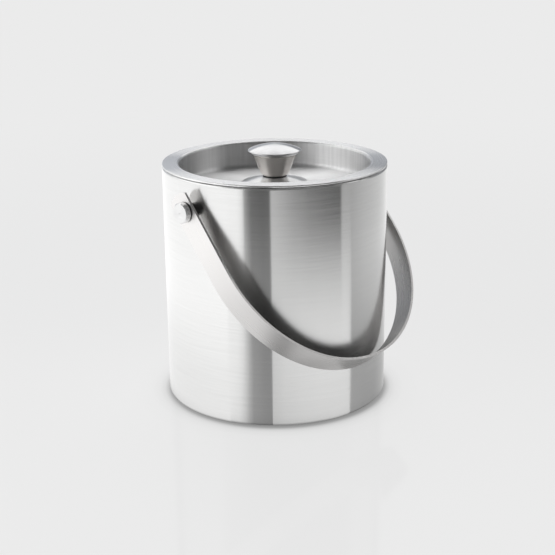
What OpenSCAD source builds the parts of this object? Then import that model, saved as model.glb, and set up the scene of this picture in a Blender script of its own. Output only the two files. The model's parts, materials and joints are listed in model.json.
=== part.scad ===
// Double-walled ice bucket with a recessed lift-off lid and a swinging strap bail.
// Millimetres. +Z is up, the origin is the centre of the foot, X is the bail's pivot axis,
// and the bail hangs towards -Y.

/* [Bucket] */
// Outside diameter of the body
body_d = 140; // [130:1:170]
// Height of the closed bucket, from the foot to the lid's flat rim
bucket_h = 149.4; // [135:0.2:180]
// Sheet thickness of the outer shell
shell_t = 0.7; // [0.5:0.1:1.0]
// Outside radius of the shell's turned-in foot
foot_r = 2.4; // [1.6:0.2:3.0]
// Width of the flat ring that the bucket stands on
foot_w = 7; // [5:0.5:9]
// Space from the outer surface of the shell to the inside of the vessel
double_wall = 6.8; // [6.6:0.1:8.0]
// Sheet thickness of the inner vessel
vessel_t = 0.6; // [0.5:0.1:0.8]
// Height of the vessel's floor above the foot
vessel_floor = 7; // [6:0.5:12]
// Inside radius between the vessel's wall and floor
vessel_corner = 7; // [4:1:10]

/* [Lid] */
// Width of the lid's flat rim
rim_w = 10.4; // [9.6:0.2:12]
// Depth of the recess below the flat rim
recess_depth = 16.4; // [14:0.2:20]
// Sheet thickness of the lid's upper pressing
lid_t = 0.7; // [0.6:0.1:0.8]
// Radius that rolls the flat rim into the recess wall
recess_top_r = 1.5; // [1.2:0.1:2.5]
// Radius between the recess wall and the recess floor
recess_floor_r = 3; // [2:0.5:4]
// Radius of the raised boss in the recess floor
boss_r = 21; // [18:0.5:24]
// Height of the boss's flat seat above the recess floor
boss_h = 6.3; // [5.5:0.1:7.0]

/* [Knob] */
// Diameter of the knob's domed crown
knob_d = 33.2; // [28:0.2:36]
// Diameter of the knob's body where it meets the crown
knob_top_d = 27.2; // [24:0.2:30]
// Diameter of the knob's foot
knob_foot_d = 15.6; // [14:0.2:20]
// Height of the tapered body
knob_body_h = 12.7; // [10:0.1:16]
// Radius of the ball that the dome is cut from
dome_ball_r = 38; // [30:1:45]

/* [Bail] */
// Height of the pivot axis above the foot
pivot_h = 130.8; // [115:0.2:135]
// Width of the strap
strap_w = 15.4; // [12:0.2:18]
// Thickness of the strap
strap_t = 1.5; // [1.2:0.1:2]
// Clear gap between the body and the strap at the pivots
strap_gap = 5.15; // [4.5:0.05:7]
// Length of the straight legs, from the pivot to the bend
leg_l = 45.2; // [40:0.2:60]
// Length of strap above the pivot
strap_end = 11.3; // [9.6:0.1:12]
// Radius of the crowned strap end
crown_r = 13.5; // [11:0.5:20]

/* [Pivot] */
// Diameter of the turned steel cap
cap_d = 12.2; // [10:0.2:13]
// Length of the cap, from the washer to its flat face
cap_l = 3.2; // [2.8:0.1:5]
// Diameter of the black spacer bush
spacer_d = 8.4; // [8:0.2:9]
// Diameter of the bush's neck, which the strap turns on
neck_d = 7; // [6.4:0.1:7.2]
// Diameter of the stud
stud_d = 5; // [4:0.5:5]

/* [Hidden] */
$fn = 96;

// Overshoot of cutting shapes
eps = 1;
// Clearance between pieces that part
gap = 0.3;
// Running clearance round the bush's neck, and at each face of the strap
run_fit = 0.05;
side_play = 0.2;
// Clearance round a stud or screw in its hole
hole_fit = 0.1;

// Bucket levels and radii. The lid's hem sits over the rim, with the parting clearance between.
body_r = body_d / 2;
hem_t = 1.2;
rim_top = bucket_h - hem_t - gap;
shoulder_r = 1.2;
shell_h = rim_top - shoulder_r;
vessel_r = body_r - double_wall;
vessel_rim_r = 1.6;
foot_in = body_r - foot_r - foot_w;
plate_t = 0.7;
plate_lap = 3.2;
plate_rib_r = 44;
plate_rib_h = 1.4;

// Lid levels and radii
lid_inset = 0.05;
lid_r = body_r - lid_inset;
hem_w = 3;
recess_r = body_r - rim_w;
floor_z = bucket_h - recess_depth;
floor_rise = 1.3;
seat_z = floor_z + boss_h;
dome_r = 56;
dome_rise = 0.6;
boss_edge_r = 2.5;
screw_hole_d = 5.4;
base_t = 0.6;
plug_clear = 1.4;
plug_r = vessel_r - plug_clear;
plug_space = 5;
plug_floor = floor_z - plug_space;
plug_corner = 3;
seal_h = 4;
seal_drop = 4.5;

// Knob levels
gasket_t = 1.15;
gasket_r = 7.5;
knob_z = seat_z + gasket_t;
knob_top_z = knob_z + knob_body_h;
groove_h = 0.6;
groove_depth = 0.9;
groove_r = knob_top_d / 2 - groove_depth;
crown_z = knob_top_z + groove_h;
crown_edge_h = 1.9;
crown_edge_z = crown_z + crown_edge_h;
crown_edge_r = 0.55;
crown_taper = 33;
knob_foot_r = 1.2;
spigot_r = 5;
spigot_l = 2.6;
screw_l = 12;
screw_room = 0.4;
screw_head_d = 9.5;
screw_head_h = 2.8;
hex_af = 3;
hex_depth = 1.8;
washer_t = 0.8;
washer_d = 12;
screw_base = seat_z - lid_t - washer_t;

// Pivot stations along X, from the bucket's axis outwards
nut_h = 3.4;
nut_af = 8;
back_t = 1.5;
back_w = 24;
back_h = 28;
back_corner = 4;
back_in = body_r - shell_t - back_t;
nut_room = 0.15;
nut_out = back_in - nut_room;
nut_in = nut_out - nut_h;
strap_in = body_r + strap_gap;
strap_out = strap_in + strap_t;
shoulder_x = strap_in - side_play;
neck_x = strap_out + side_play;
pivot_washer_t = 0.5;
pivot_washer_d = cap_d - 0.4;
cap_x = neck_x + pivot_washer_t;
cap_end = cap_x + cap_l;
cap_chamfer = 0.6;
dimple_r = 0.7;
dimple_depth = 0.4;
cap_wall = 1.2;
stud_end = cap_end - cap_wall;
strap_hole_r = neck_d / 2 + run_fit;

// Bail shape: straight legs into a half circle
bend_r = strap_in + strap_t / 2;
reach_in = leg_l + strap_in;

// Angle below the horizontal at which the strap's lower inner edge comes to the body
rest_gap = 0.4;
droop = acos((body_r + rest_gap) / norm([reach_in, strap_w / 2])) - atan2(strap_w / 2, reach_in);

STEEL = [0.80, 0.80, 0.79];
STEEL_WARM = [0.68, 0.66, 0.64];
POLISHED = [0.88, 0.88, 0.89];
BLACK = [0.05, 0.05, 0.05];
SILICONE = [0.55, 0.56, 0.57];
ZINC = [0.62, 0.63, 0.65];

// ---- Shared shapes ----

// Half section of a drum that stands on Z = 0, with a rounded lower corner
module drum_section(r, h, corner) {
    square([r - corner, h]);
    translate([0, corner]) square([r, h - corner]);
    translate([r - corner, corner]) circle(corner);
}

// The same with a rounded upper corner
module plug_section(r, h, corner) {
    square([r - corner, h]);
    square([r, h - corner]);
    translate([r - corner, h - corner]) circle(corner);
}

// Fills the inside corner at [x, y] with a concave fillet that opens to -X, +Y
module inside_fillet(x, y, r) {
    difference() {
        translate([x - r, y]) square(r);
        translate([x - r, y + r]) circle(r);
    }
}

// A round bar along X from x0 to x1
module x_bar(x0, x1, r) {
    translate([x0, 0, 0]) rotate([0, 90, 0]) cylinder(r = r, h = x1 - x0);
}

// Places its children, made for the +X side, at the right-hand or left-hand pivot
module at_pivot(side) {
    translate([0, 0, pivot_h]) mirror([side < 0 ? 1 : 0, 0, 0]) children();
}

// ---- Bucket ----

module outer_shell() {
    color(STEEL) difference() {
        rotate_extrude() difference() {
            drum_section(body_r, shell_h, foot_r);
            translate([0, shell_t]) drum_section(body_r - shell_t, shell_h, foot_r - shell_t);
            square([foot_in, shell_t * 2]);
        }
        for (side = [-1, 1]) at_pivot(side) x_bar(nut_in, body_r + eps, stud_d / 2 + hole_fit);
    }
}

// Disc that lies on the turned-in foot, stiffened by one pressed step
module base_plate() {
    color(ZINC) rotate_extrude() {
        translate([0, shell_t + plate_rib_h]) square([plate_rib_r, plate_t]);
        translate([plate_rib_r - plate_t, shell_t]) square([plate_t, plate_rib_h + plate_t]);
        translate([plate_rib_r - plate_t, shell_t])
            square([foot_in + plate_lap - plate_rib_r + plate_t, plate_t]);
    }
}

// Inner wall and floor, with the rim flange rolled down onto the shell's top edge
module inner_vessel() {
    flange_in = vessel_r + vessel_rim_r;
    color(STEEL) rotate_extrude() {
        difference() {
            translate([0, vessel_floor - vessel_t])
                drum_section(vessel_r + vessel_t, rim_top - vessel_rim_r - vessel_floor + vessel_t,
                    vessel_corner + vessel_t);
            translate([0, vessel_floor]) drum_section(vessel_r, rim_top, vessel_corner);
        }
        intersection() {
            difference() {
                translate([flange_in, rim_top - vessel_rim_r]) circle(vessel_rim_r);
                translate([flange_in, rim_top - vessel_rim_r]) circle(vessel_rim_r - vessel_t);
            }
            translate([vessel_r, rim_top - vessel_rim_r]) square(vessel_rim_r);
        }
        translate([flange_in, rim_top - vessel_t]) square([body_r - shoulder_r - flange_in, vessel_t]);
        translate([body_r - shoulder_r, shell_h]) difference() {
            intersection() {
                circle(shoulder_r);
                square(shoulder_r);
            }
            circle(shoulder_r - vessel_t);
        }
    }
}

// ---- Pivot hardware, made for the +X side ----

// Doubler that follows the inside of the shell
module backing_plate() {
    intersection() {
        translate([0, 0, -back_h / 2]) difference() {
            cylinder(r = body_r - shell_t, h = back_h);
            translate([0, 0, -eps]) cylinder(r = back_in, h = back_h + 2 * eps);
        }
        rotate([0, 90, 0]) linear_extrude(body_r) {
            square([back_h - 2 * back_corner, back_w], center = true);
            square([back_h, back_w - 2 * back_corner], center = true);
            for (u = [-1, 1], v = [-1, 1])
                translate([u * (back_h / 2 - back_corner), v * (back_w / 2 - back_corner)])
                    circle(back_corner);
        }
    }
}

module pivot_plate(side) {
    color(ZINC) at_pivot(side) difference() {
        backing_plate();
        x_bar(back_in - eps, body_r, stud_d / 2 + hole_fit);
    }
}

module pivot_nut(side) {
    color(ZINC) at_pivot(side) difference() {
        translate([nut_in, 0, 0]) rotate([0, 90, 0])
            cylinder(d = nut_af / cos(30), h = nut_h, $fn = 6);
        x_bar(nut_in - eps, nut_out + eps, stud_d / 2);
    }
}

module pivot_stud(side) {
    color(ZINC) at_pivot(side) x_bar(nut_in, stud_end, stud_d / 2);
}

// Black bush: a saddle foot on the shell, a shoulder, and the neck that the strap turns on
module pivot_spacer(side) {
    color(BLACK) at_pivot(side) difference() {
        union() {
            x_bar(body_r - eps, shoulder_x, spacer_d / 2);
            x_bar(body_r, neck_x, neck_d / 2);
        }
        x_bar(body_r - 2 * eps, neck_x + eps, stud_d / 2);
        translate([0, 0, -body_r / 2]) cylinder(r = body_r, h = body_r);
    }
}

module pivot_washer(side) {
    color(BLACK) at_pivot(side) difference() {
        x_bar(neck_x, cap_x, pivot_washer_d / 2);
        x_bar(neck_x - eps, cap_x + eps, stud_d / 2);
    }
}

// Turned cap with a chamfered face, a centre dimple and a blind hole for the stud
module pivot_cap(side) {
    color(POLISHED) at_pivot(side) difference() {
        union() {
            x_bar(cap_x, cap_end - cap_chamfer, cap_d / 2);
            translate([cap_end - cap_chamfer, 0, 0]) rotate([0, 90, 0])
                cylinder(r1 = cap_d / 2, r2 = cap_d / 2 - cap_chamfer, h = cap_chamfer);
        }
        x_bar(cap_x - eps, stud_end, stud_d / 2);
        translate([cap_end - dimple_depth, 0, 0]) rotate([0, 90, 0])
            cylinder(r1 = 0, r2 = dimple_r, h = dimple_depth);
    }
}

// ---- Bail ----

// Side view of the strip: two legs and the half circle, hanging to -Y
module strip_outline() {
    for (side = [-1, 1])
        translate([side * bend_r - strap_t / 2, -leg_l]) square([strap_t, leg_l + strap_end]);
    translate([0, -leg_l]) intersection() {
        difference() {
            circle(bend_r + strap_t / 2);
            circle(bend_r - strap_t / 2);
        }
        translate([-body_d, -body_d]) square([2 * body_d, body_d]);
    }
}

module bail_strap() {
    reach = leg_l + bend_r + strap_t;
    color(STEEL) translate([0, 0, pivot_h]) rotate([droop - 90, 0, 0]) difference() {
        intersection() {
            rotate([90, 0, 0]) translate([0, 0, -strap_w / 2])
                linear_extrude(strap_w) strip_outline();
            union() {
                translate([-body_d, -strap_w, -reach]) cube([2 * body_d, 2 * strap_w, reach]);
                translate([0, 0, strap_end - crown_r]) x_bar(-body_d, body_d, crown_r);
            }
        }
        for (side = [-1, 1])
            mirror([side < 0 ? 1 : 0, 0, 0]) x_bar(strap_in - eps, strap_out + eps, strap_hole_r);
    }
}

// ---- Lid ----

// Half section of everything below the lid's upper surface, drop lower and
// with its walls moved outwards by the same amount
module under_lid_surface(drop) {
    wall_r = recess_r + drop;
    low = plug_floor - lid_t;
    floor_top = floor_z - drop;
    dome_c = seat_z + dome_rise - dome_r;
    edge_c = [boss_r - boss_edge_r,
        dome_c + sqrt(pow(dome_r - boss_edge_r, 2) - pow(boss_r - boss_edge_r, 2))];
    // Flat rim with its inner edge rolled over
    translate([wall_r + lid_r, low]) mirror([1, 0])
        plug_section(lid_r, bucket_h - drop - low, recess_top_r - drop);
    // Recess floor, rising gently to the boss, and the fillet to the wall
    polygon([[0, low], [wall_r + eps, low], [wall_r + eps, floor_top],
        [recess_r - recess_floor_r, floor_top], [boss_r, floor_top + floor_rise],
        [0, floor_top + floor_rise]]);
    inside_fillet(wall_r, floor_top, recess_floor_r + drop);
    // Boss: a shallow dome with a rolled edge and a flat seat
    intersection() {
        union() {
            intersection() {
                translate([0, dome_c]) circle(dome_r - drop);
                square([edge_c[0] * dome_r / (dome_r - boss_edge_r), bucket_h]);
            }
            translate(edge_c) circle(boss_edge_r - drop);
        }
        translate([0, low]) square([boss_r + eps, seat_z - drop - low]);
    }
}

// One pressing: hemmed flat rim, recess wall, floor and boss
module lid_pan() {
    hem_r = hem_t / 2;
    color(STEEL) rotate_extrude() {
        difference() {
            intersection() {
                under_lid_surface(0);
                square([lid_r - hem_r, bucket_h]);
            }
            under_lid_surface(lid_t);
            square([screw_hole_d / 2, bucket_h]);
        }
        translate([lid_r - hem_w, bucket_h - hem_t]) square([hem_w - hem_r, hem_t]);
        translate([lid_r - hem_r, bucket_h - hem_r]) circle(hem_r);
    }
}

// Lower skin: a shallow cup whose edge is welded under the flat rim
module lid_base() {
    cup_h = bucket_h - lid_t - plug_floor;
    color(STEEL) rotate_extrude() difference() {
        translate([0, plug_floor]) drum_section(plug_r, cup_h, plug_corner);
        translate([0, plug_floor + base_t]) drum_section(plug_r - base_t, cup_h, plug_corner - base_t);
    }
}

// Soft ring round the plug, with a rounded lip towards the vessel
module lid_seal() {
    lip = vessel_r - gap - plug_r;
    z0 = rim_top - seal_drop - seal_h;
    color(SILICONE) rotate_extrude() translate([plug_r, z0]) {
        square([lip / 2, seal_h]);
        for (z = [seal_h / 4, seal_h * 3 / 4]) translate([lip / 2, z]) circle(lip / 2);
    }
}

// ---- Knob ----

module knob_gasket() {
    color(BLACK) translate([0, 0, seat_z]) difference() {
        cylinder(r = gasket_r, h = gasket_t);
        translate([0, 0, -eps]) cylinder(r = stud_d / 2 + hole_fit, h = gasket_t + 2 * eps);
    }
}

// Tapered body with a softened foot, a turned groove at the top and a tapped hole
module knob_body() {
    foot = knob_foot_d / 2;
    top = knob_top_d / 2;
    color(STEEL_WARM) difference() {
        rotate_extrude() {
            polygon([[0, knob_z], [foot, knob_z], [foot + knob_foot_r, knob_z + knob_foot_r],
                [top, knob_top_z], [groove_r, knob_top_z], [groove_r, crown_z], [0, crown_z]]);
        }
        translate([0, 0, screw_base]) cylinder(d = stud_d, h = screw_l + screw_room);
        translate([0, 0, crown_z - spigot_l]) cylinder(r = spigot_r, h = spigot_l + eps);
    }
}

// Domed crown with a tapered underside and a spigot pressed into the body
module knob_crown() {
    edge = [knob_d / 2 - crown_edge_r, crown_edge_z];
    ball_z = crown_edge_z - sqrt(pow(dome_ball_r - crown_edge_r, 2) - pow(edge[0], 2));
    // Where the dome and the taper meet the rolled edge
    dome_foot = edge[0] * dome_ball_r / (dome_ball_r - crown_edge_r);
    taper_top = edge + crown_edge_r * [sin(crown_taper), -cos(crown_taper)];
    taper_foot = taper_top[0] - (taper_top[1] - crown_z) / tan(crown_taper);
    color(POLISHED) rotate_extrude() {
        intersection() {
            translate([0, ball_z]) circle(dome_ball_r);
            translate([0, crown_edge_z]) square([dome_foot, dome_ball_r]);
        }
        translate(edge) circle(crown_edge_r);
        polygon([[0, crown_z], [taper_foot, crown_z], taper_top, edge, [0, crown_edge_z]]);
        translate([0, crown_z - spigot_l]) square([spigot_r, spigot_l]);
    }
}

module knob_washer() {
    color(ZINC) translate([0, 0, screw_base]) difference() {
        cylinder(d = washer_d, h = washer_t);
        translate([0, 0, -eps]) cylinder(r = stud_d / 2 + hole_fit, h = washer_t + 2 * eps);
    }
}

// Screw with a socket head, driven up through the boss into the knob
module knob_screw() {
    color(ZINC) translate([0, 0, screw_base - screw_head_h]) difference() {
        union() {
            cylinder(d = screw_head_d, h = screw_head_h);
            cylinder(d = stud_d, h = screw_head_h + screw_l);
        }
        translate([0, 0, -eps]) cylinder(d = hex_af / cos(30), h = hex_depth + eps, $fn = 6);
    }
}

outer_shell();
base_plate();
inner_vessel();
pivot_plate(-1);  // left_backing_plate
pivot_plate(1);  // right_backing_plate
pivot_nut(-1);  // left_nut
pivot_nut(1);  // right_nut
pivot_stud(-1);  // left_stud
pivot_stud(1);  // right_stud
pivot_spacer(-1);  // left_spacer
pivot_spacer(1);  // right_spacer
pivot_washer(-1);  // left_washer
pivot_washer(1);  // right_washer
pivot_cap(-1);  // left_cap
pivot_cap(1);  // right_cap
bail_strap();
lid_pan();
lid_base();
lid_seal();
knob_gasket();
knob_body();
knob_crown();
knob_screw();
knob_washer();
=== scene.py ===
"""Double-walled brushed steel ice bucket with a lift-off lid and a hanging strap bail.

Metres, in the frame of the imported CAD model: +Z up, the bail's pivot axis along X.
"""
import json
import math

import bpy
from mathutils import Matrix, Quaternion, Vector


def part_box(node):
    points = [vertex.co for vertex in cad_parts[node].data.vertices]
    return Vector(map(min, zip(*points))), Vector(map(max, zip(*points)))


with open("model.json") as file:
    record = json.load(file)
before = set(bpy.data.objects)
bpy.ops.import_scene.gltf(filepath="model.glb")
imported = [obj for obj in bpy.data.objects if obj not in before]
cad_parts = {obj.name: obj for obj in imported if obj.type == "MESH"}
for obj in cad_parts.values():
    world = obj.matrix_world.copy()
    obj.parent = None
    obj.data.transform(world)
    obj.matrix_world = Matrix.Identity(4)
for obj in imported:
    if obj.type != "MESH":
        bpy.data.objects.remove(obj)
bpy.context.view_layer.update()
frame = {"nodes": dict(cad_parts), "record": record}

MM = 0.001

# ---- Camera ----
VIEW_AZIMUTH = -46.5
VIEW_ELEVATION = 17.55
VIEW_DISTANCE = 773.7 * MM
ORBIT_HEIGHT = 75 * MM
LENS_MM = 78.32
AIM = (0.27 * MM, -1.27 * MM, 72.86 * MM)
ROLL = -0.527

# ---- Studio ----
# Brightness of the backdrop and of the floor's own glow
PALE = 0.831
FLOOR_GLOW = 0.893
FLOOR_REACH = 5.0
# Share and roughness of the floor's reflection
FLOOR_GLOSS = 0.022
FLOOR_ROUGHNESS = 0.07
# How far the reflected table lies below the floor
CARD_DROP = 0.5 * MM
# Offset of the contact shadow, to the right and towards the camera
SHADOW_SHIFT = (0.6 * MM, 0.8 * MM)
TABLE_REACH = 0.6

# ---- Bucket ----
# Outer radius, width of the lid's flat rim, and radius of the recess inside it
BODY_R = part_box("outer_shell")[1].x
RIM_W = 10.4 * MM
RECESS_R = BODY_R - RIM_W

# The hanging strap: its angle below the horizontal, the length of its straight legs, and its axis
BAIL_DROOP = math.radians(50.62)
LEG = 45.2 * MM
PIVOT_Z = frame["record"]["behaviour"]["joints"][0]["pos_m"][2]
STRAP_DOWN = (0.0, -math.cos(BAIL_DROOP), -math.sin(BAIL_DROOP))
STRAP_ACROSS = (0.0, -math.sin(BAIL_DROOP), math.cos(BAIL_DROOP))


# ---- Node graphs ----


def grey(level):
    return (level, level, level, 1.0)


class Graph:
    """A node tree with short calls for the nodes used here."""

    def __init__(self, tree):
        self.tree = tree
        tree.nodes.clear()

    def add(self, kind, inputs=(), **settings):
        node = self.tree.nodes.new(kind)
        for key, value in settings.items():
            setattr(node, key, value)
        for key, value in dict(inputs).items():
            self.put(value, node.inputs[key])
        return node

    def put(self, value, socket):
        if isinstance(value, bpy.types.NodeSocket):
            self.tree.links.new(value, socket)
        else:
            socket.default_value = value

    def math(self, operation, a, b=0.0, c=None):
        values = {0: a, 1: b} if c is None else {0: a, 1: b, 2: c}
        return self.add("ShaderNodeMath", values, operation=operation).outputs[0]

    def vector_math(self, operation, a, b=(0.0, 0.0, 0.0)):
        node = self.add("ShaderNodeVectorMath", {0: a, 1: b}, operation=operation)
        single = operation in ("DOT_PRODUCT", "LENGTH", "DISTANCE")
        return node.outputs["Value" if single else "Vector"]

    def position(self):
        return self.add("ShaderNodeTexCoord").outputs["Object"]

    def map(self, value, low, high, to_low=0.0, to_high=1.0, smooth=False):
        kind = "SMOOTHSTEP" if smooth else "LINEAR"
        inputs = {"Value": value, "From Min": low, "From Max": high, "To Min": to_low, "To Max": to_high}
        return self.add("ShaderNodeMapRange", inputs, interpolation_type=kind).outputs["Result"]

    def noise(self, vector, scale, detail=2.0, roughness=0.5, w=None):
        node = self.add("ShaderNodeTexNoise", noise_dimensions="3D" if w is None else "4D")
        inputs = {"Vector": vector, "Scale": scale, "Detail": detail, "Roughness": roughness}
        if w is not None:
            inputs["W"] = w
        for key, value in inputs.items():
            self.put(value, node.inputs[key])
        return node.outputs["Fac"]

    def ramp(self, value, stops):
        node = self.add("ShaderNodeValToRGB", {"Fac": value})
        elements = node.color_ramp.elements
        while len(elements) < len(stops):
            elements.new(0.5)
        for element, (place, level) in zip(elements, stops):
            element.position = place
            element.color = grey(level)
        return node.outputs["Color"]

    def mix(self, factor, a, b):
        node = self.add("ShaderNodeMix", {"Factor": factor}, data_type="RGBA")
        self.put(a, node.inputs[6])
        self.put(b, node.inputs[7])
        return node.outputs[2]

    def split(self, vector):
        return self.add("ShaderNodeSeparateXYZ", {"Vector": vector}).outputs

    def join(self, x, y, z):
        return self.add("ShaderNodeCombineXYZ", {"X": x, "Y": y, "Z": z}).outputs[0]

    def finish(self, shader):
        self.add("ShaderNodeOutputMaterial", {"Surface": shader.outputs[0]})


def new_material(name):
    material = bpy.data.materials.new(name)
    material.use_nodes = True
    g = Graph(material.node_tree)
    g.material = material
    return material, g


# ---- Studio: camera, backdrop, floor, reflected table and world ----


def make_camera():
    azimuth, elevation = math.radians(VIEW_AZIMUTH), math.radians(VIEW_ELEVATION)
    data = bpy.data.cameras.new("camera")
    data.lens = LENS_MM
    camera = bpy.data.objects.new("camera", data)
    bpy.context.scene.collection.objects.link(camera)
    camera.location = (
        VIEW_DISTANCE * math.sin(azimuth) * math.cos(elevation),
        -VIEW_DISTANCE * math.cos(azimuth) * math.cos(elevation),
        VIEW_DISTANCE * math.sin(elevation) + ORBIT_HEIGHT,
    )
    sight = Vector(AIM) - camera.location
    level = sight.to_track_quat("-Z", "Y")
    camera.rotation_mode = "QUATERNION"
    camera.rotation_quaternion = level @ Quaternion((0, 0, 1), math.radians(ROLL))
    data.clip_start, data.clip_end = 0.01, 4 * FLOOR_REACH
    bpy.context.scene.camera = camera


def stage_object(name, vertices, faces, material):
    mesh = bpy.data.meshes.new(name)
    mesh.from_pydata(vertices, [], faces)
    mesh.materials.append(material)
    obj = bpy.data.objects.new(name, mesh)
    bpy.context.scene.collection.objects.link(obj)
    return obj


def make_backdrop():
    """Pale dome that only the camera sees."""
    rings, sides = 12, 48
    vertices, faces = [], []
    for i in range(rings + 1):
        tilt = math.pi / 2 * i / rings
        for j in range(sides):
            turn = 2 * math.pi * j / sides
            vertices.append((
                FLOOR_REACH * math.cos(tilt) * math.cos(turn),
                FLOOR_REACH * math.cos(tilt) * math.sin(turn),
                FLOOR_REACH * math.sin(tilt),
            ))
    for i in range(rings):
        for j in range(sides):
            a, b = i * sides + j, i * sides + (j + 1) % sides
            faces.append((a, b, b + sides, a + sides))
    material, g = new_material("backdrop_pale")
    glow = g.add("ShaderNodeEmission", {"Color": grey(1.0), "Strength": PALE})
    g.finish(glow)
    material.cycles.emission_sampling = "NONE"
    dome = stage_object("backdrop", vertices, faces, material)
    for flag in ("visible_diffuse", "visible_glossy", "visible_transmission", "visible_shadow"):
        setattr(dome, flag, False)


def disc(radius, z, sides=96):
    points = [(radius * math.cos(2 * math.pi * i / sides), radius * math.sin(2 * math.pi * i / sides), z)
              for i in range(sides)]
    return points, [tuple(range(sides))]


def make_floor():
    """Pale, faintly glossy table top with a contact shadow, fading into the backdrop."""
    material, g = new_material("floor_pale")
    right, ahead = seen_right(90), seen_right(0)
    shift = tuple(SHADOW_SHIFT[0] * right[i] + SHADOW_SHIFT[1] * ahead[i] for i in (0, 1))
    shaded = g.vector_math("DISTANCE", g.position(), (*shift, 0.0))
    painted_contact_shadow = g.ramp(g.map(shaded, BODY_R - 2 * MM, BODY_R + 24 * MM), [
        (0.0, 0.35), (0.08, 0.45), (0.14, 0.66), (0.22, 0.85), (0.34, 0.94), (0.55, 0.985), (1.0, 1.0)])
    matt = g.add("ShaderNodeBsdfDiffuse", {"Color": grey(0.80)})
    glow = g.add("ShaderNodeEmission", {"Color": painted_contact_shadow, "Strength": FLOOR_GLOW})
    body = g.add("ShaderNodeMixShader", {0: 0.85, 1: matt.outputs[0], 2: glow.outputs[0]})
    gloss = g.add("ShaderNodeBsdfGlossy", {"Color": grey(1.0), "Roughness": FLOOR_ROUGHNESS})
    near = g.add("ShaderNodeMixShader", {0: FLOOR_GLOSS, 1: body.outputs[0], 2: gloss.outputs[0]})
    far = g.add("ShaderNodeEmission", {"Color": grey(1.0), "Strength": PALE})
    fade = g.map(from_axis(g), 0.3, 1.0, smooth=True)
    g.finish(g.add("ShaderNodeMixShader", {0: fade, 1: near.outputs[0], 2: far.outputs[0]}))
    material.cycles.emission_sampling = "NONE"
    floor = stage_object("floor", *disc(FLOOR_REACH, 0.0), material)
    floor.visible_glossy = False


def seen_right(phi):
    """Unit vector at an angle to the right of the camera's side of the bucket."""
    turn = math.radians(VIEW_AZIMUTH + phi)
    return math.sin(turn), -math.cos(turn)


def reflected(phi):
    """Where the wall at an angle to the right of the front sends the camera's line of sight."""
    camera = Vector(seen_right(0)) * VIEW_DISTANCE * math.cos(math.radians(VIEW_ELEVATION))
    normal = Vector(seen_right(phi))
    wall = BODY_R * normal
    sight = (camera - wall).normalized()
    return wall, 2 * normal.dot(sight) * normal - sight


# Distances from the wall along the lines that it reflects, and the contact shadow on the nearest
FAN_REACH = (0.0, 2 * MM, 6 * MM, 16 * MM, 35 * MM, 0.13, 0.24, 0.50)
FAN_CONTACT = (0.28, 0.60, 0.86, 0.97)
# Brightness of the table along each of those lines, by the angle to the right of the front: at the
# foot, halfway and far out. From about -12 to -2.1 lies a dark card, and from 40 a grey one.
FAN = [
    (-24.0, 1.02, 1.08, 1.12), (-19.0, 0.95, 1.04, 1.10), (-16.0, 0.76, 0.88, 0.96),
    (-13.5, 0.52, 0.60, 0.64), (-11.5, 0.39, 0.42, 0.34), (-6.0, 0.34, 0.33, 0.29), (-2.15, 0.32, 0.32, 0.27),
    (-2.05, 0.72, 0.82, 0.82), (4.0, 0.80, 0.92, 0.88), (12.0, 0.85, 0.98, 0.92), (22.0, 0.88, 1.01, 0.93),
    (39.8, 0.88, 0.97, 0.88), (40.0, 0.44, 0.42, 0.54), (50.0, 0.42, 0.45, 0.60), (60.0, 0.42, 0.50, 0.64),
    (66.0, 0.47, 0.55, 0.68), (72.0, 0.53, 0.62, 0.74), (78.0, 0.63, 0.72, 0.82), (87.0, 0.80, 0.88, 0.95),
]


def make_fan():
    """What the steel sees of the table in front of it and to its right."""
    vertices, faces, levels = [], [], []
    rings = len(FAN_REACH)
    for phi, near, middle, far in FAN:
        wall, away = reflected(phi)
        vertices += [(*(wall + reach * away), -CARD_DROP) for reach in FAN_REACH]
        levels += [near * shade for shade in FAN_CONTACT] + [near, middle, far, far]
    for i in range((len(FAN) - 1) * rings):
        if i % rings < rings - 1:
            faces.append((i, i + 1, i + 1 + rings, i + rings))
    material, g = new_material("table_fan")
    level = g.add("ShaderNodeAttribute", attribute_name="level").outputs["Fac"]
    table_surface(g, level)
    fan = stage_object("table_fan", vertices, faces, material)
    fan.data.attributes.new("level", "FLOAT", "POINT").data.foreach_set("value", levels)


def make_table():
    """The rest of the table: pale, brighter further out, and with a painted contact shadow at the foot."""
    material, g = new_material("table_pale")
    away = from_axis(g)
    level = g.map(away, 0.10, 0.32, 1.04, 1.26, smooth=True)
    painted_contact_shadow = g.ramp(g.map(away, BODY_R - 2 * MM, BODY_R + 14 * MM),
                     [(0.0, 0.20), (0.12, 0.45), (0.25, 0.72), (0.45, 0.92), (1.0, 1.0)])
    table_surface(g, g.math("MULTIPLY", level, painted_contact_shadow))
    stage_object("table_pale", *disc(TABLE_REACH, -2 * CARD_DROP), material)


def from_axis(g, flat=False):
    """Distance from the origin, or from the bucket's axis if flat."""
    position = g.position()
    if flat:
        position = g.vector_math("MULTIPLY", position, (1.0, 1.0, 0.0))
    return g.vector_math("LENGTH", position)


def table_surface(g, level):
    """Glows at the given level, and clears at the table's edge to show the room."""
    glow = g.add("ShaderNodeEmission", {"Color": grey(1.0), "Strength": level})
    clear = g.add("ShaderNodeBsdfTransparent")
    edge = g.map(from_axis(g), 0.33, 0.48, smooth=True)
    g.finish(g.add("ShaderNodeMixShader", {0: edge, 1: glow.outputs[0], 2: clear.outputs[0]}))
    g.material.cycles.emission_sampling = "NONE"


def camera_parts(g, vector):
    """Splits a horizontal vector into its parts to the right of, and towards, the front of the set."""
    return [g.vector_math("DOT_PRODUCT", vector, (*seen_right(turn), 0.0)) for turn in (90, 0)]


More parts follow.
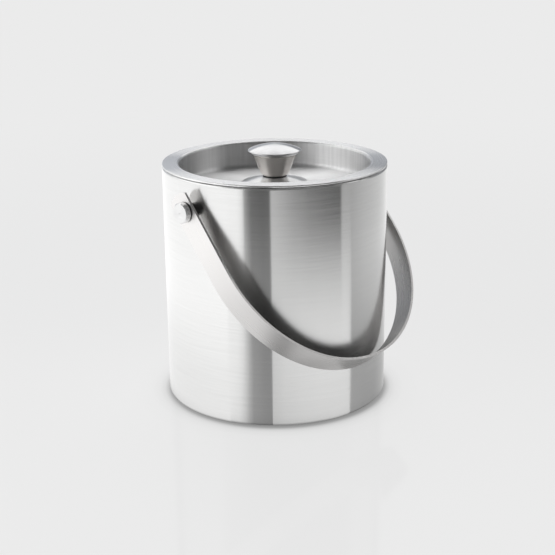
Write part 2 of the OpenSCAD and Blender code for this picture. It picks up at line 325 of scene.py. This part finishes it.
# Brightness round the set, by the angle in degrees to the right of its front: what stands
# round the table, and what hangs a little above it
RING_LOW = [
    (-180, 1.22), (-38, 1.15), (-32.6, 0.95), (-30.8, 0.26), (-26, 0.11), (-12, 0.08), (-4.6, 0.11),
    (-4.2, 0.60), (8, 0.43), (17, 0.30), (34, 0.14), (50, 0.06), (69.8, 0.01), (70.2, 0.40), (83, 0.44),
    (100, 0.55), (128, 0.68), (144, 0.80), (158, 0.92), (180, 1.0),
]
RING_HIGH = [
    (-180, 0.50), (-172, 0.56), (-150, 0.56), (-125, 0.80), (-100, 0.95), (-60, 1.1), (-36, 1.1),
    (-24, 0.18), (20, 0.16), (50, 0.27), (75, 0.40), (110, 0.36), (150, 0.28), (172, 0.33), (180, 0.50),
]
# Tint of what hangs behind the set
COOL = (0.95, 0.985, 1.05)
ZENITH = 0.03
# Soft boxes: direction to the right of the front, half width, lower and upper edge, in degrees,
# and brightness; and the softness of their edges
SOFT_BOXES = [
    (180, 32, 21, 66, 1.45), (-84, 44, 12, 50, 1.5), (108, 22, 22, 50, 0.9), (0, 60, 24, 62, 0.2),
]
BOX_EDGE = 4


def soft_box(g, direction, height, colour, box):
    """Adds a soft-edged light panel to the surroundings."""
    centre, half_width, low, high, level = box
    along, side = [g.vector_math("DOT_PRODUCT", direction, (*seen_right(centre + turn), 0.0))
                   for turn in (0, 90)]
    aside = g.math("ABSOLUTE", g.math("ARCTAN2", side, along))
    across = g.map(aside, math.radians(half_width + 2 * BOX_EDGE), math.radians(half_width - 2 * BOX_EDGE),
                   smooth=True)
    above = g.map(height, math.radians(low - BOX_EDGE / 2), math.radians(low + BOX_EDGE / 2), smooth=True)
    below = g.map(height, math.radians(high + BOX_EDGE), math.radians(high - BOX_EDGE), smooth=True)
    return g.mix(g.math("MULTIPLY", across, g.math("MULTIPLY", above, below)), colour, grey(level))


def make_world():
    """Bright low surroundings, soft boxes on four sides, and a dark ceiling."""
    world = bpy.data.worlds.new("studio")
    bpy.context.scene.world = world
    world.use_nodes = True
    g = Graph(world.node_tree)
    direction = g.add("ShaderNodeTexCoord").outputs["Generated"]
    right, ahead = camera_parts(g, direction)
    turn = g.map(g.math("ARCTAN2", right, ahead), -math.pi, math.pi)
    low, high = [g.ramp(turn, [((angle + 180) / 360, float(level)) for angle, level in ring])
                 for ring in (RING_LOW, RING_HIGH)]
    height = g.math("ARCSINE", g.split(direction)["Z"])
    behind = g.map(ahead, -0.55, -0.8, smooth=True)
    high = g.vector_math("MULTIPLY", high, g.mix(behind, grey(1.0), (*COOL, 1.0)))
    colour = g.mix(g.map(height, -0.05, 0.03, smooth=True), low, high)
    ceiling = g.map(height, math.radians(18), math.radians(34), smooth=True)
    colour = g.mix(ceiling, colour, grey(ZENITH))
    for box in SOFT_BOXES:
        colour = soft_box(g, direction, height, colour, box)
    sky = g.add("ShaderNodeBackground", {"Color": colour, "Strength": 1.0})
    g.add("ShaderNodeOutputWorld", {"Surface": sky.outputs[0]})


# ---- Materials ----


# Frequency per metre of the brushing's fine lines and longer streaks, along and across them
FINE_GRAIN = (60.0, 3500.0)
LONG_GRAIN = (26.0, 1500.0)
BRUSH_DEPTH = 0.006 * MM


def turned_tangent(g, axis):
    """Direction round the axis, which the brushing follows."""
    return g.add("ShaderNodeTangent", direction_type="RADIAL", axis=axis).outputs[0]


def grain_turned(g, axis, along, across):
    """Coordinates that run slowly round the axis, and fast along it and away from it."""
    parts = g.split(g.position())
    u, v, w = {"Z": ("X", "Y", "Z"), "X": ("Y", "Z", "X")}[axis]
    radius = g.math("SQRT", g.math("ADD", g.math("MULTIPLY", parts[u], parts[u]),
                                   g.math("MULTIPLY", parts[v], parts[v])))
    vector = g.join(g.math("MULTIPLY", parts[u], along), g.math("MULTIPLY", parts[v], along),
                    g.math("MULTIPLY", parts[w], across))
    return vector, g.math("MULTIPLY", radius, across)


def brushed_steel(name, colour, roughness, anisotropy=1.0, grain=1.0, streak=1.0, tangent=None, coords=None,
                  shade=None):
    """Brushed steel: fine lines in the bump, and longer streaks in roughness and colour."""
    material, g = new_material(name)
    tangent = tangent(g) if tangent else turned_tangent(g, "Z")
    coords = coords or (lambda g, along, across: grain_turned(g, "Z", along, across))
    (fine_at, fine_w), (long_at, long_w) = coords(g, *FINE_GRAIN), coords(g, *LONG_GRAIN)
    fine = g.noise(fine_at, 1.0, 3.0, 0.6, fine_w)
    long = g.noise(long_at, 1.0, 3.0, 0.6, long_w)
    smudge = g.noise(g.position(), 22.0, 2.0, 0.5)
    base = roughness(g) if callable(roughness) else roughness
    rough = g.math("ADD", g.math("MULTIPLY", base, g.map(long, 0.3, 0.7, 0.94, 1.06)),
                   g.map(smudge, 0.35, 0.65, -0.006, 0.006))
    dark = tuple(c * (1 - 0.055 * streak) for c in colour)
    tint = g.mix(g.map(long, 0.3, 0.7), (*dark, 1.0), (*colour, 1.0))
    # shade darkens the colour: on the strap it is painted shade, on the lid faint streaks that vary at random
    if shade:
        tint = g.mix(shade(g), grey(0.0), tint)
    height = g.add("ShaderNodeMix", {"Factor": 0.10, "A": fine, "B": long}, data_type="FLOAT").outputs[0]
    bump = g.add("ShaderNodeBump", {"Height": height, "Strength": 1.0, "Distance": BRUSH_DEPTH * grain})
    shader = g.add("ShaderNodeBsdfPrincipled", {
        "Base Color": tint, "Metallic": 1.0, "Roughness": rough, "Anisotropic": anisotropy,
        "Anisotropic Rotation": 0.25, "Tangent": tangent, "Normal": bump.outputs[0]})
    g.finish(shader)
    return material


def plain(name, colour, roughness, metallic=0.0, speckle=60.0, depth=0.01):
    """Moulded or plated surface with a fine even texture."""
    material, g = new_material(name)
    position = g.position()
    fine = g.noise(position, speckle * 40, 3.0, 0.6)
    broad = g.noise(position, speckle, 3.0, 0.5)
    tint = g.mix(broad, (*(c * 0.85 for c in colour), 1.0), (*colour, 1.0))
    bump = g.add("ShaderNodeBump", {"Height": fine, "Strength": 1.0, "Distance": depth * MM})
    shader = g.add("ShaderNodeBsdfPrincipled", {
        "Base Color": tint, "Metallic": metallic, "Normal": bump.outputs[0],
        "Roughness": g.map(broad, 0.3, 0.7, roughness * 0.85, roughness * 1.15)})
    g.finish(shader)
    return material


def strip_tangent(g):
    """Across the strap: the direction is fixed in the strap's own frame."""
    across = g.join(*STRAP_ACROSS)
    return g.add("ShaderNodeVectorTransform", {0: across}, vector_type="VECTOR",
                 convert_from="OBJECT", convert_to="WORLD").outputs[0]


def strip_coords(g, along, across):
    """Coordinates that run slowly along the strap and fast across it."""
    position = g.position()
    wide = g.vector_math("DOT_PRODUCT", position, STRAP_ACROSS)
    down = g.vector_math("DOT_PRODUCT", position, STRAP_DOWN)
    vector = g.join(g.math("MULTIPLY", g.split(position)["X"], along), g.math("MULTIPLY", down, along),
                    g.math("MULTIPLY", wide, across))
    return vector, 0.0


def strip_painted_shade(g):
    """Painted shade on the strap: darker towards the bend, most of all on the left of its inner face."""
    position = g.position()
    centre = tuple(LEG * part for part in STRAP_DOWN[:2]) + (PIVOT_Z + LEG * STRAP_DOWN[2],)
    out = g.vector_math("SUBTRACT", position, centre)
    normal = g.add("ShaderNodeTexCoord").outputs["Normal"]
    inner = g.map(g.vector_math("DOT_PRODUCT", out, normal), -0.02, -0.04)
    down = g.vector_math("DOT_PRODUCT", out, STRAP_DOWN)
    # Painted shade: the colour darkens towards the bend on both faces, and on the inner face most on the left
    bend_shade = g.map(down, -0.02, 0.04, 0.0, 0.82, smooth=True)
    shade_on_left = g.map(g.split(position)["X"], 0.0, 0.06, 1.0, 0.0, smooth=True)
    outside = g.map(down, -0.03, 0.03, 1.0, 0.78, smooth=True)
    inside = g.math("SUBTRACT", 1.0, g.math("MULTIPLY", bend_shade, shade_on_left))
    return g.math("MULTIPLY_ADD", inner, g.math("SUBTRACT", inside, outside), outside)


def recess_shade(g):
    """Faint upright streaks on the recess wall, left by the press."""
    parts = g.split(g.position())
    around = g.join(g.math("MULTIPLY", parts["X"], 420.0), g.math("MULTIPLY", parts["Y"], 420.0),
                    g.math("MULTIPLY", parts["Z"], 20.0))
    away = from_axis(g, flat=True)
    wall = g.math("MULTIPLY", g.map(away, RECESS_R - 3.6 * MM, RECESS_R - 1.1 * MM),
                  g.map(away, RECESS_R + 1.4 * MM, RECESS_R + 0.6 * MM))
    streak = g.map(g.noise(around, 1.0, 2.0), 0.35, 0.65, 0.0, 0.10)
    return g.math("SUBTRACT", 1.0, g.math("MULTIPLY", wall, streak))


def lid_roughness(g):
    """The flat rim is finer than the recess."""
    return g.map(from_axis(g, flat=True), RECESS_R + 0.4 * MM, RECESS_R + 1.9 * MM, 0.37, 0.26)


def x_turned(g, along, across):
    """Grain of a piece turned about the pivot axis."""
    return grain_turned(g, "X", along, across)


STEEL = (0.78, 0.78, 0.775)

MATERIALS = {
    "steel_body": lambda n: brushed_steel(n, STEEL, 0.16),
    "steel_inner": lambda n: brushed_steel(n, STEEL, 0.22),
    "steel_lid": lambda n: brushed_steel(n, (0.88, 0.88, 0.88), lid_roughness, shade=recess_shade),
    "steel_lid_under": lambda n: brushed_steel(n, STEEL, 0.26),
    "steel_base": lambda n: plain(n, (0.58, 0.58, 0.58), 0.35, metallic=1.0),
    # The strap's colour carries painted shade, darker towards the bend
    "steel_bail": lambda n: brushed_steel(n, (0.825, 0.812, 0.803), 0.28, anisotropy=0.9, grain=0.2,
                                          streak=0.4, tangent=strip_tangent, coords=strip_coords,
                                          shade=strip_painted_shade),
    "steel_knob": lambda n: brushed_steel(n, (0.90, 0.862, 0.825), 0.24),
    "steel_polished": lambda n: brushed_steel(n, (0.69, 0.69, 0.695), 0.18, grain=0.3),
    "steel_cap": lambda n: brushed_steel(n, (0.80, 0.80, 0.80), 0.22, grain=0.5,
                                         tangent=lambda g: turned_tangent(g, "X"), coords=x_turned),
    "black_nylon": lambda n: plain(n, (0.012, 0.012, 0.012), 0.42),
    "seal": lambda n: plain(n, (0.40, 0.41, 0.42), 0.5),
    "zinc": lambda n: plain(n, (0.52, 0.53, 0.55), 0.38, metallic=1.0),
}


def dress_nodes():
    """Gives every CAD node the material of its slot."""
    made = {slot: build(slot) for slot, build in MATERIALS.items()}
    slots = {part["node"]: part["material_slot"] for part in frame["record"]["subparts"]}
    for name, obj in frame["nodes"].items():
        obj.data.materials.clear()
        obj.data.materials.append(made[slots[name]])


make_camera()
make_world()
make_backdrop()
make_floor()
make_table()
make_fan()
dress_nodes()
bpy.context.scene.view_settings.view_transform = "Standard"
bpy.context.scene.view_settings.look = "None"
